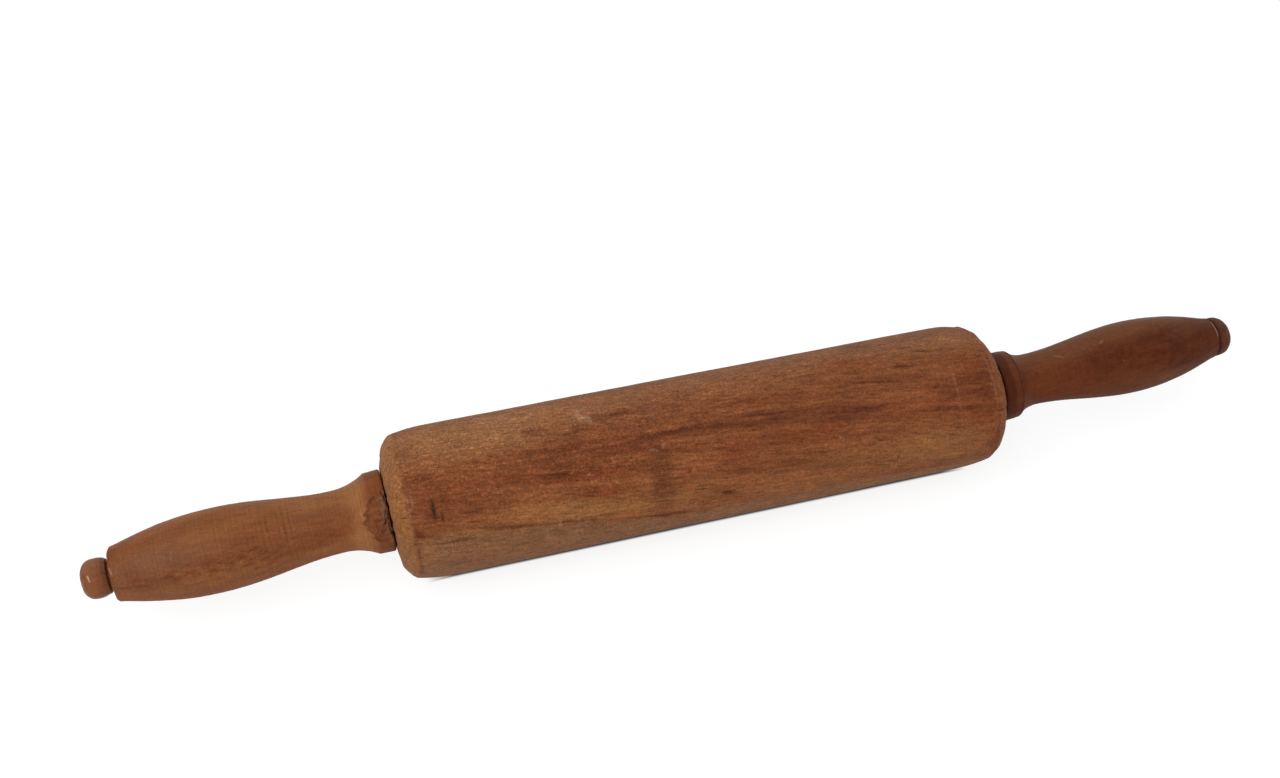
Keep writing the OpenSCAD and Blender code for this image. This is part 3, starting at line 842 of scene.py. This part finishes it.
def new_group(name, inputs, outputs):
    """An empty node group with named sockets, and its input and output nodes' sockets."""
    tree = bpy.data.node_groups.new(name, "ShaderNodeTree")
    for socket, (kind, value) in inputs.items():
        made = tree.interface.new_socket(socket, in_out="INPUT", socket_type="NodeSocket" + kind)
        if value is not None:
            made.default_value = value
    for socket, kind in outputs.items():
        tree.interface.new_socket(socket, in_out="OUTPUT", socket_type="NodeSocket" + kind)
    return tree, tree.nodes.new("NodeGroupInput").outputs, tree.nodes.new("NodeGroupOutput").inputs


def spread(tree, value, low, high, to_low, to_high):
    """Maps a value from low..high to to_low..to_high, clamped."""
    return add(tree, "MapRange", {"Value": value, "From Min": low, "From Max": high, "To Min": to_low,
                                  "To Max": to_high}).outputs["Result"]


def math_node(tree, operation, first, second):
    """The result of one sum, product or the like of two values."""
    return add(tree, "Math", {0: first, 1: second}, operation=operation).outputs[0]


print("node helpers ready")

# %% [markdown]
# ## Wood grain group
# Grain is noise that is stretched along the billet. Broad streaks, thin fibres and short open
# pores are three stretches of it. Two unstretched ones give the mottle of old grease and the
# fine fuzz of a dry surface. Object coordinates carry them right through the wood, so that the
# end faces show end grain.

# %% Wood grain group
def grain_noise(tree, vector, stretch, detail, distortion=0.0):
    """Noise that varies stretch times per metre along X, Y and Z."""
    mapped = add(tree, "Mapping", {"Vector": vector, "Scale": stretch}).outputs[0]
    noise = add(tree, "TexNoise", {"Vector": mapped, "Scale": 1.0, "Detail": detail, "Roughness": 0.6,
                                   "Distortion": distortion})
    return noise.outputs["Fac"]


grain_group, taken, given = new_group(
    "wood_grain", {"Vector": ("Vector", None)},
    {"Streaks": "Float", "Fibres": "Float", "Pores": "Float", "Mottle": "Float", "Fuzz": "Float"})
streaks = grain_noise(grain_group, taken["Vector"], (18, 300, 300), 4.0, 0.4)
fibres = grain_noise(grain_group, taken["Vector"], (180, 1150, 1150), 3.0, 0.7)
pores = grain_noise(grain_group, taken["Vector"], (140, 1200, 1200), 2.0, 0.6)
mottle = grain_noise(grain_group, taken["Vector"], (60, 140, 140), 5.0, 0.5)
fuzz = grain_noise(grain_group, taken["Vector"], (1150, 1150, 1150), 2.0, 0.6)
for name, value, low, high in (("Streaks", streaks, 0.33, 0.67), ("Fibres", fibres, 0.3, 0.7),
                               ("Pores", pores, 0.60, 0.74), ("Mottle", mottle, 0.3, 0.7),
                               ("Fuzz", fuzz, 0.3, 0.7)):
    grain_group.links.new(spread(grain_group, value, low, high, 0.0, 1.0), given[name])
print("wood grain group ready")

# %% [markdown]
# ## Nap, lathe and stain groups
# Nap is raised fibre: short curly hairs, drawn as the thin ridges of a twisted noise. Lathe
# lines run round the piece, so they read only the distance along it. The stain group lays one
# tone over another, more where the streaks are dark, as dirt sinks into open grain.

# %% Nap, lathe and stain groups
nap_group, taken, given = new_group("nap", {"Vector": ("Vector", None), "Amount": ("Float", 1.0)},
                                    {"Hairs": "Float"})
twisted = grain_noise(nap_group, taken["Vector"], (360, 560, 560), 2.0, 1.8)
off_ridge = math_node(nap_group, "ABSOLUTE", math_node(nap_group, "SUBTRACT", twisted, 0.5), 0.0)
hairs = spread(nap_group, off_ridge, 0.0, 0.085, 1.0, 0.0)
nap_group.links.new(math_node(nap_group, "MULTIPLY", hairs, taken["Amount"]), given["Hairs"])

lathe_group, taken, given = new_group("lathe_lines", {"Along": ("Float", 0.0)}, {"Lines": "Float"})
ring_noise = add(lathe_group, "TexNoise", {"W": taken["Along"], "Scale": 1400.0, "Detail": 3.0},
                 noise_dimensions="1D").outputs["Fac"]
lathe_group.links.new(spread(lathe_group, ring_noise, 0.3, 0.7, 0.0, 1.0), given["Lines"])

stain_group, taken, given = new_group(
    "stain", {"Wood": ("Color", None), "Stain": ("Color", None), "Mask": ("Float", 0.0),
              "Grain": ("Float", 0.5), "Raggedness": ("Float", 0.5)}, {"Wood": "Color"})
rough_edge = math_node(stain_group, "MULTIPLY", spread(stain_group, taken["Grain"], 0.0, 1.0, 1.0, -1.0),
                       taken["Raggedness"])
share = math_node(stain_group, "MULTIPLY", taken["Mask"], math_node(stain_group, "ADD", rough_edge, 1.0))
mixed = add(stain_group, "Mix", {0: share, 6: taken["Wood"], 7: taken["Stain"]}, data_type="RGBA")
stain_group.links.new(mixed.outputs[2], given["Wood"])
print("nap, lathe and stain groups ready")

# %% [markdown]
# ## Wood material
# One function builds every wood here. The base colour runs between a dark and a light tone by
# the streaks. Each stain is a named mask of the piece with its own tone, and some masks also
# carry painted shade, painted sheen and painted glints. Fibres, mottle, pores and nap then shade
# the result, and the same four make the bump.

# %% Wood material
def linked_group(tree, group, feeds):
    """Places a node group in a material's tree."""
    made = tree.nodes.new("ShaderNodeGroup")
    made.node_tree = group
    for key, value in feeds.items():
        if isinstance(value, bpy.types.NodeSocket):
            tree.links.new(value, made.inputs[key])
        else:
            made.inputs[key].default_value = value
    return made.outputs


def wood_material(name, tones, stains, seed, lean, shade, bump_mm, finish):
    """Wood from two tones, stains as (mask, colour, raggedness) and depths of shading.

    seed shifts the grain, lean turns it, shade is the depth of fibres, mottle, pores, nap, lathe
    lines and fuzz, and finish is (roughness, specular level, sheen).
    """
    material = bpy.data.materials.new(name)
    material.use_nodes = True
    tree = material.node_tree
    shader = tree.nodes["Principled BSDF"]
    place = add(tree, "TexCoord").outputs["Object"]
    place = add(tree, "Mapping", {"Vector": place, "Location": seed, "Rotation": lean}).outputs[0]
    grain = linked_group(tree, grain_group, {"Vector": place})
    masks = {}
    for mask in ["nap", "along"] + [stain[0] for stain in stains]:
        masks[mask] = add(tree, "Attribute", attribute_name=mask).outputs["Fac"]
    hairs = linked_group(tree, nap_group, {"Vector": place, "Amount": masks["nap"]})["Hairs"]
    rings = linked_group(tree, lathe_group, {"Along": masks["along"]})["Lines"]
    wood = add(tree, "Mix", {0: grain["Streaks"], 6: (*tones[0], 1), 7: (*tones[1], 1)},
               data_type="RGBA").outputs[2]
    for mask, colour, raggedness in stains:
        wood = linked_group(tree, stain_group, {"Wood": wood, "Stain": (*colour, 1), "Mask": masks[mask],
                                                "Grain": grain["Streaks"], "Raggedness": raggedness})["Wood"]
    depth = spread(tree, grain["Fibres"], 0, 1, 1 - shade[0], 1 + shade[0])
    for value, amount in ((grain["Mottle"], shade[1]), (grain["Pores"], -shade[2]), (rings, shade[4]),
                          (grain["Fuzz"], shade[5])):
        low = 1.0 if amount < 0 else 1 - amount
        depth = math_node(tree, "MULTIPLY", depth, spread(tree, value, 0, 1, low, 1 + amount))
    depth = math_node(tree, "MULTIPLY", depth, spread(tree, hairs, 0, 1, 1 - 0.4 * shade[3], 1 + shade[3]))
    colour = add(tree, "VectorMath", {0: wood, "Scale": depth}, operation="SCALE").outputs[0]
    tree.links.new(colour, shader.inputs["Base Color"])
    height = math_node(tree, "MULTIPLY", grain["Fibres"], 0.5)
    for value, amount in ((grain["Pores"], -0.9), (hairs, 1.0), (rings, 0.25), (grain["Mottle"], 0.6),
                          (grain["Fuzz"], 0.8)):
        height = math_node(tree, "ADD", height, math_node(tree, "MULTIPLY", value, amount))
    bump = add(tree, "Bump", {"Height": height, "Distance": bump_mm * MM, "Strength": 1.0})
    tree.links.new(bump.outputs[0], shader.inputs["Normal"])
    roughness, specular, sheen = finish
    gloss = spread(tree, grain["Mottle"], 0, 1, roughness - 0.06, roughness + 0.08)
    tree.links.new(gloss, shader.inputs["Roughness"])
    shader.inputs["Specular IOR Level"].default_value = specular
    shader.inputs["Sheen Weight"].default_value = sheen
    shader.inputs["Sheen Roughness"].default_value = 0.3
    return material


def finish_piece(piece, material):
    """Gives a piece its one material."""
    piece.data.materials.append(material)


# %% Barrel wood
barrel_wood = wood_material(
    "barrel_wood", [(0.207, 0.063, 0.023), (0.303, 0.103, 0.037)],
    [("olive", (0.345, 0.144, 0.056), 0.35), ("gold", (0.330, 0.134, 0.046), 0.4),
     ("reddish", (0.220, 0.060, 0.021), 0.6), ("greyed_and_sheen", (0.268, 0.118, 0.052), 0.4),
     ("umber_and_shade", (0.135, 0.035, 0.013), 0.6), ("square_stain", (0.140, 0.045, 0.017), 0.1),
     ("streak", (0.130, 0.035, 0.016), 0.35), ("rubbed", (0.36, 0.17, 0.08), 0.3),
     ("dark_lines_and_shade", (0.085, 0.024, 0.010), 0.3), ("wound", (0.045, 0.019, 0.013), 0.1),
     ("pale_nicks_and_glints", (0.50, 0.30, 0.18), 0.4)],
    seed=(0.0, 0.0, 0.0), lean=(0.0, -0.11, 0.07), shade=(0.27, 0.15, 0.36, 0.44, 0.03, 0.27),
    bump_mm=0.18, finish=(0.62, 0.05, 0.06))
finish_piece(barrel, barrel_wood)

# %% Handle woods
HANDLE_SHADE = (0.09, 0.11, 0.15, 0.12, 0.08, 0.14)
left_wood = wood_material(
    "left_handle_wood", [(0.205, 0.066, 0.023), (0.250, 0.088, 0.032)],
    [("gold", (0.295, 0.119, 0.042), 0.3), ("reddish", (0.200, 0.060, 0.020), 0.4),
     ("greyed_and_sheen", (0.210, 0.087, 0.041), 0.2), ("umber_and_shade", (0.152, 0.046, 0.017), 0.2),
     ("dark_lines_and_shade", (0.130, 0.040, 0.016), 0.3), ("wound", (0.160, 0.048, 0.018), 0.35),
     ("rusty", (0.240, 0.084, 0.030), 0.3), ("frayed", (0.205, 0.095, 0.050), 0.5),
     ("torn", (0.026, 0.010, 0.007), 0.4),
     ("pale_nicks_and_glints", (0.48, 0.28, 0.17), 0.3)],
    seed=(0.3, 0.0, 0.1), lean=(0.0, -0.06, 0.05), shade=HANDLE_SHADE, bump_mm=0.05,
    finish=(0.44, 0.05, 0.0))
right_wood = wood_material(
    "right_handle_wood", [(0.100, 0.024, 0.008), (0.138, 0.038, 0.013)],
    [("gold", (0.160, 0.058, 0.021), 0.3), ("reddish", (0.140, 0.035, 0.011), 0.4),
     ("greyed_and_sheen", (0.150, 0.054, 0.022), 0.3), ("umber_and_shade", (0.078, 0.018, 0.006), 0.2),
     ("dark_lines_and_shade", (0.038, 0.010, 0.005), 0.2), ("pale_nicks_and_glints", (0.34, 0.19, 0.12), 0.3)],
    seed=(0.7, 0.2, 0.0), lean=(0.0, 0.05, -0.04), shade=HANDLE_SHADE, bump_mm=0.04,
    finish=(0.42, 0.05, 0.0))
finish_piece(left_handle_wood, left_wood)
finish_piece(right_handle_wood, right_wood)

# %% Knob woods
# The pale tone lays each knob's painted glint as well as its scratches.
left_knob_wood = wood_material(
    "left_knob_wood", [(0.185, 0.060, 0.022), (0.235, 0.084, 0.033)],
    [("gold", (0.270, 0.112, 0.046), 0.3), ("reddish", (0.195, 0.055, 0.019), 0.4),
     ("greyed_and_sheen", (0.240, 0.105, 0.050), 0.3), ("umber_and_shade", (0.120, 0.036, 0.014), 0.5),
     ("dark_lines_and_shade", (0.050, 0.015, 0.007), 0.2), ("pale_nicks_and_glints", (0.65, 0.46, 0.36), 0.2)],
    seed=(0.1, 0.5, 0.0), lean=(0.0, 0.0, 0.0), shade=HANDLE_SHADE, bump_mm=0.03,
    finish=(0.38, 0.09, 0.0))
right_knob_wood = wood_material(
    "right_knob_wood", [(0.070, 0.020, 0.009), (0.100, 0.034, 0.016)],
    [("gold", (0.120, 0.048, 0.023), 0.3), ("reddish", (0.095, 0.026, 0.011), 0.4),
     ("greyed_and_sheen", (0.110, 0.044, 0.023), 0.3), ("umber_and_shade", (0.055, 0.015, 0.007), 0.5),
     ("dark_lines_and_shade", (0.020, 0.007, 0.004), 0.2), ("pale_nicks_and_glints", (0.25, 0.13, 0.08), 0.2)],
    seed=(0.4, 0.1, 0.3), lean=(0.0, 0.0, 0.0), shade=HANDLE_SHADE, bump_mm=0.03,
    finish=(0.38, 0.07, 0.0))
finish_piece(left_pin_wood, left_knob_wood)
finish_piece(right_pin_wood, right_knob_wood)
print("woods ready")

# %% [markdown]
# ## Floor and light
# The photograph's ground is plain white, with a thin contact shadow. The floor is a large pale
# sheet that catches the true shadow. The camera alone sees it as a mid tone with some emission
# of its own, which leaves the lit part white, softens the shadow and adds no light to the wood.
# The emission stops in the strip right under the barrel, where the gap is narrow, and it comes
# back towards the barrel's worn ends. The strip is set from the barrel's size, not by the lamp,
# so its dark is a painted contact shadow. A white room and one broad lamp from the upper left
# give the level at which a colour renders about as written.

# %% Floor
FLOOR_HALF = 4.0
FLOOR_WHITE = 0.90
FLOOR_SEEN = 0.24
FLOOR_LIFT = 0.84


def painted_shadow_half_width(gap):
    """Half width of the floor strip over which the barrel hangs lower than gap: half a chord."""
    return math.sqrt(ROLL_R ** 2 - (ROLL_R - gap) ** 2)


floor_mesh = bpy.data.meshes.new("floor")
floor_mesh.from_pydata([(-FLOOR_HALF, -FLOOR_HALF, 0), (FLOOR_HALF, -FLOOR_HALF, 0),
                        (FLOOR_HALF, FLOOR_HALF, 0), (-FLOOR_HALF, FLOOR_HALF, 0)], [], [(0, 1, 2, 3)])
floor = bpy.data.objects.new("floor", floor_mesh)
bpy.context.scene.collection.objects.link(floor)

floor_material = bpy.data.materials.new("floor_white")
floor_material.use_nodes = True
floor_tree = floor_material.node_tree
floor_shader = floor_tree.nodes["Principled BSDF"]
floor_shader.inputs["Roughness"].default_value = 0.9
floor_shader.inputs["Specular IOR Level"].default_value = 0.0
floor_shader.inputs["Emission Color"].default_value = (1, 1, 1, 1)
seen = add(floor_tree, "LightPath").outputs["Is Camera Ray"]
floor_tree.links.new(spread(floor_tree, seen, 0.0, 1.0, FLOOR_WHITE, FLOOR_SEEN),
                     floor_shader.inputs["Base Color"])
on_floor = add(floor_tree, "SeparateXYZ", {0: add(floor_tree, "TexCoord").outputs["Object"]}).outputs
# Painted contact shadow: no emission where the barrel hangs within 3.5 mm of the floor, full by 4.1 mm.
lift_outside_painted_shadow = spread(floor_tree, math_node(floor_tree, "ABSOLUTE", on_floor["Y"], 0.0),
                painted_shadow_half_width(3.5 * MM), painted_shadow_half_width(4.1 * MM), 0.0, FLOOR_LIFT)
beyond = spread(floor_tree, math_node(floor_tree, "ABSOLUTE", on_floor["X"], 0.0),
                FACE_X - 20 * MM, FACE_X - 9 * MM, 0.0, FLOOR_LIFT)
lift = math_node(floor_tree, "MAXIMUM", lift_outside_painted_shadow, beyond)
floor_tree.links.new(math_node(floor_tree, "MULTIPLY", seen, lift), floor_shader.inputs["Emission Strength"])
floor_mesh.materials.append(floor_material)
print("floor", 2 * FLOOR_HALF, "m")

# %% Room
ROOM_LIGHT = 0.68
room = bpy.data.worlds.new("studio_room")
bpy.context.scene.world = room
room.use_nodes = True
room_tree = room.node_tree
paths = add(room_tree, "LightPath").outputs
mirrored = math_node(room_tree, "MAXIMUM", paths["Is Camera Ray"], paths["Is Glossy Ray"])
room_tree.nodes["Background"].inputs["Color"].default_value = (1, 1, 1, 1)
room_tree.links.new(spread(room_tree, mirrored, 0.0, 1.0, ROOM_LIGHT, 1.0),
                    room_tree.nodes["Background"].inputs["Strength"])
print("room light", ROOM_LIGHT)


# %% Lamp
def soft_lamp(name, place, size, power, aim=(0.0, 0.0, 0.02)):
    """A square area lamp at place, turned to aim: heading and dip of the line between them."""
    data = bpy.data.lights.new(name, "AREA")
    data.size = size
    data.energy = power
    lamp = bpy.data.objects.new(name, data)
    lamp.location = place
    offset = np.array(aim) - np.array(place)
    heading = math.atan2(offset[0], offset[1])
    dip = math.atan2(-offset[2], math.hypot(offset[0], offset[1]))
    lamp.rotation_euler = (math.pi / 2 - dip, 0.0, -heading)
    bpy.context.scene.collection.objects.link(lamp)
    return lamp


soft_lamp("key_lamp", (-1.1, -0.7, 1.4), 1.4, 16.5)
